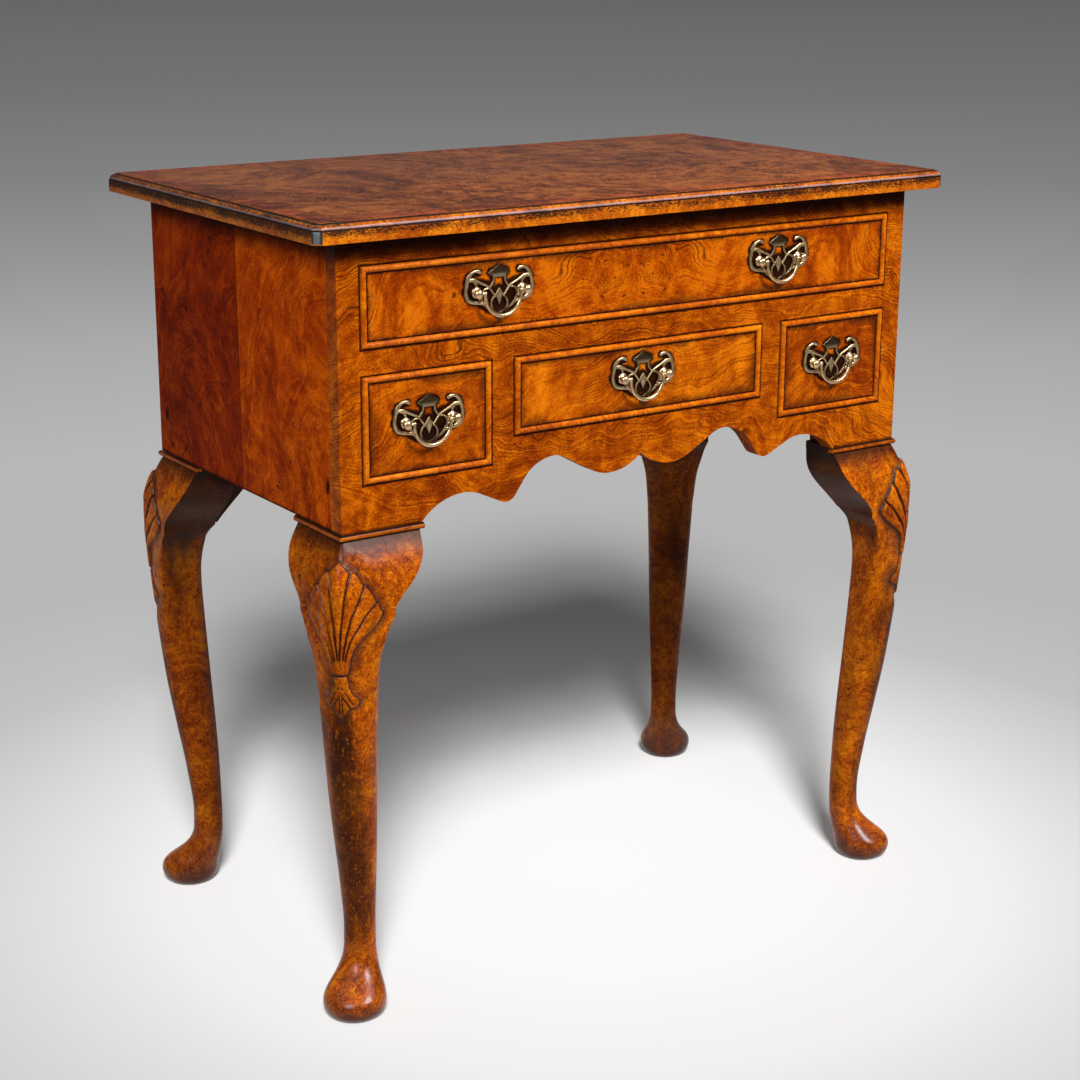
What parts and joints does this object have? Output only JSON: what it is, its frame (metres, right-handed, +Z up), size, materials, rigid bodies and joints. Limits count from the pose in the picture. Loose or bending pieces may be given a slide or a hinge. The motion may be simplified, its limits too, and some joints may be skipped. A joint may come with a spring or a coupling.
{
  "type": "lowboy",
  "caption": "Veneered lowboy: a case with one long and several short drawers under a moulded top, on shell-carved cabriole legs, with pierced brass bail handles.",
  "frame": {"origin": "on the floor under the middle of the top", "axes": "+Z up; -Y towards the person who opens the drawers; +X to that person's right"},
  "size_m": [0.729, 0.431, 0.76],
  "materials": {
    "top_veneer": "polished burr veneer with a crossbanded edge",
    "side_veneer": "polished bookmatched veneer",
    "front_veneer": "polished figured veneer",
    "drawer_veneer": "polished figured veneer with burr patches",
    "carved_walnut": "stained and polished solid wood",
    "moulding_walnut": "polished cross-grained moulding",
    "carcase_pine": "unpolished softwood, darkened by age",
    "drawer_oak": "unpolished oak lining",
    "brass": "antique cast brass, dark in the recesses",
    "iron": "dull iron wood screws"
  },
  "bodies": {
    "case": {"apron": "front_veneer", "back_board": "carcase_pine", "divider_left": "front_veneer", "divider_right": "front_veneer", "drawer_runners": "carcase_pine", "glue_blocks": "carcase_pine", "kicker_strips": "carcase_pine", "knee_beads": "moulding_walnut", "knee_blocks": "carved_walnut", "leg_back_left": "carved_walnut", "leg_back_right": "carved_walnut", "leg_front_left": "carved_walnut", "leg_front_right": "carved_walnut", "middle_rail": "front_veneer", "side_panel_left": "side_veneer", "side_panel_right": "side_veneer", "stile_left": "front_veneer", "stile_right": "front_veneer", "top_board": "top_veneer", "top_rail": "front_veneer", "top_screws": "iron"},
    "drawer_long": {"drawer_long_front": "drawer_veneer", "drawer_long_side_left": "drawer_oak", "drawer_long_side_right": "drawer_oak", "drawer_long_back": "drawer_oak", "drawer_long_bottom": "drawer_oak", "drawer_long_cockbeads": "moulding_walnut", "handle_plate_long_left": "brass", "handle_posts_long_left": "brass", "handle_plate_long_right": "brass", "handle_posts_long_right": "brass"},
    "drawer_small_left": {"drawer_small_left_front": "drawer_veneer", "drawer_small_left_side_left": "drawer_oak", "drawer_small_left_side_right": "drawer_oak", "drawer_small_left_back": "drawer_oak", "drawer_small_left_bottom": "drawer_oak", "drawer_small_left_cockbeads": "moulding_walnut", "handle_plate_small_left": "brass", "handle_posts_small_left": "brass"},
    "drawer_middle": {"drawer_middle_front": "drawer_veneer", "drawer_middle_side_left": "drawer_oak", "drawer_middle_side_right": "drawer_oak", "drawer_middle_back": "drawer_oak", "drawer_middle_bottom": "drawer_oak", "drawer_middle_cockbeads": "moulding_walnut", "handle_plate_middle": "brass", "handle_posts_middle": "brass"},
    "drawer_small_right": {"drawer_small_right_front": "drawer_veneer", "drawer_small_right_side_left": "drawer_oak", "drawer_small_right_side_right": "drawer_oak", "drawer_small_right_back": "drawer_oak", "drawer_small_right_bottom": "drawer_oak", "drawer_small_right_cockbeads": "moulding_walnut", "handle_plate_small_right": "brass", "handle_posts_small_right": "brass"},
    "bail_long_left": {"handle_bail_long_left": "brass"},
    "bail_long_right": {"handle_bail_long_right": "brass"},
    "bail_small_left": {"handle_bail_small_left": "brass"},
    "bail_small_right": {"handle_bail_small_right": "brass"},
    "bail_middle": {"handle_bail_middle": "brass"}
  },
  "joints": [
    {"name": "drawer_long_slide", "type": "slide", "parent": "case", "child": "drawer_long", "axis": [0, -1, 0], "range_m": [0, 0.24]},
    {"name": "drawer_small_left_slide", "type": "slide", "parent": "case", "child": "drawer_small_left", "axis": [0, -1, 0], "range_m": [0, 0.24]},
    {"name": "drawer_middle_slide", "type": "slide", "parent": "case", "child": "drawer_middle", "axis": [0, -1, 0], "range_m": [0, 0.24]},
    {"name": "drawer_small_right_slide", "type": "slide", "parent": "case", "child": "drawer_small_right", "axis": [0, -1, 0], "range_m": [0, 0.24]},
    {"name": "bail_long_left_hinge", "type": "hinge", "parent": "drawer_long", "child": "bail_long_left", "pos_m": [-0.165, -0.199, 0.6829], "axis": [-1, 0, 0], "range_deg": [-12, 190]},
    {"name": "bail_long_right_hinge", "type": "hinge", "parent": "drawer_long", "child": "bail_long_right", "pos_m": [0.165, -0.199, 0.6829], "axis": [-1, 0, 0], "range_deg": [-12, 190]},
    {"name": "bail_small_left_hinge", "type": "hinge", "parent": "drawer_small_left", "child": "bail_small_left", "pos_m": [-0.2408, -0.199, 0.57265], "axis": [-1, 0, 0], "range_deg": [-12, 190]},
    {"name": "bail_middle_hinge", "type": "hinge", "parent": "drawer_middle", "child": "bail_middle", "pos_m": [0, -0.199, 0.5848], "axis": [-1, 0, 0], "range_deg": [-12, 190]},
    {"name": "bail_small_right_hinge", "type": "hinge", "parent": "drawer_small_right", "child": "bail_small_right", "pos_m": [0.2408, -0.199, 0.57265], "axis": [-1, 0, 0], "range_deg": [-12, 190]}
  ]
}
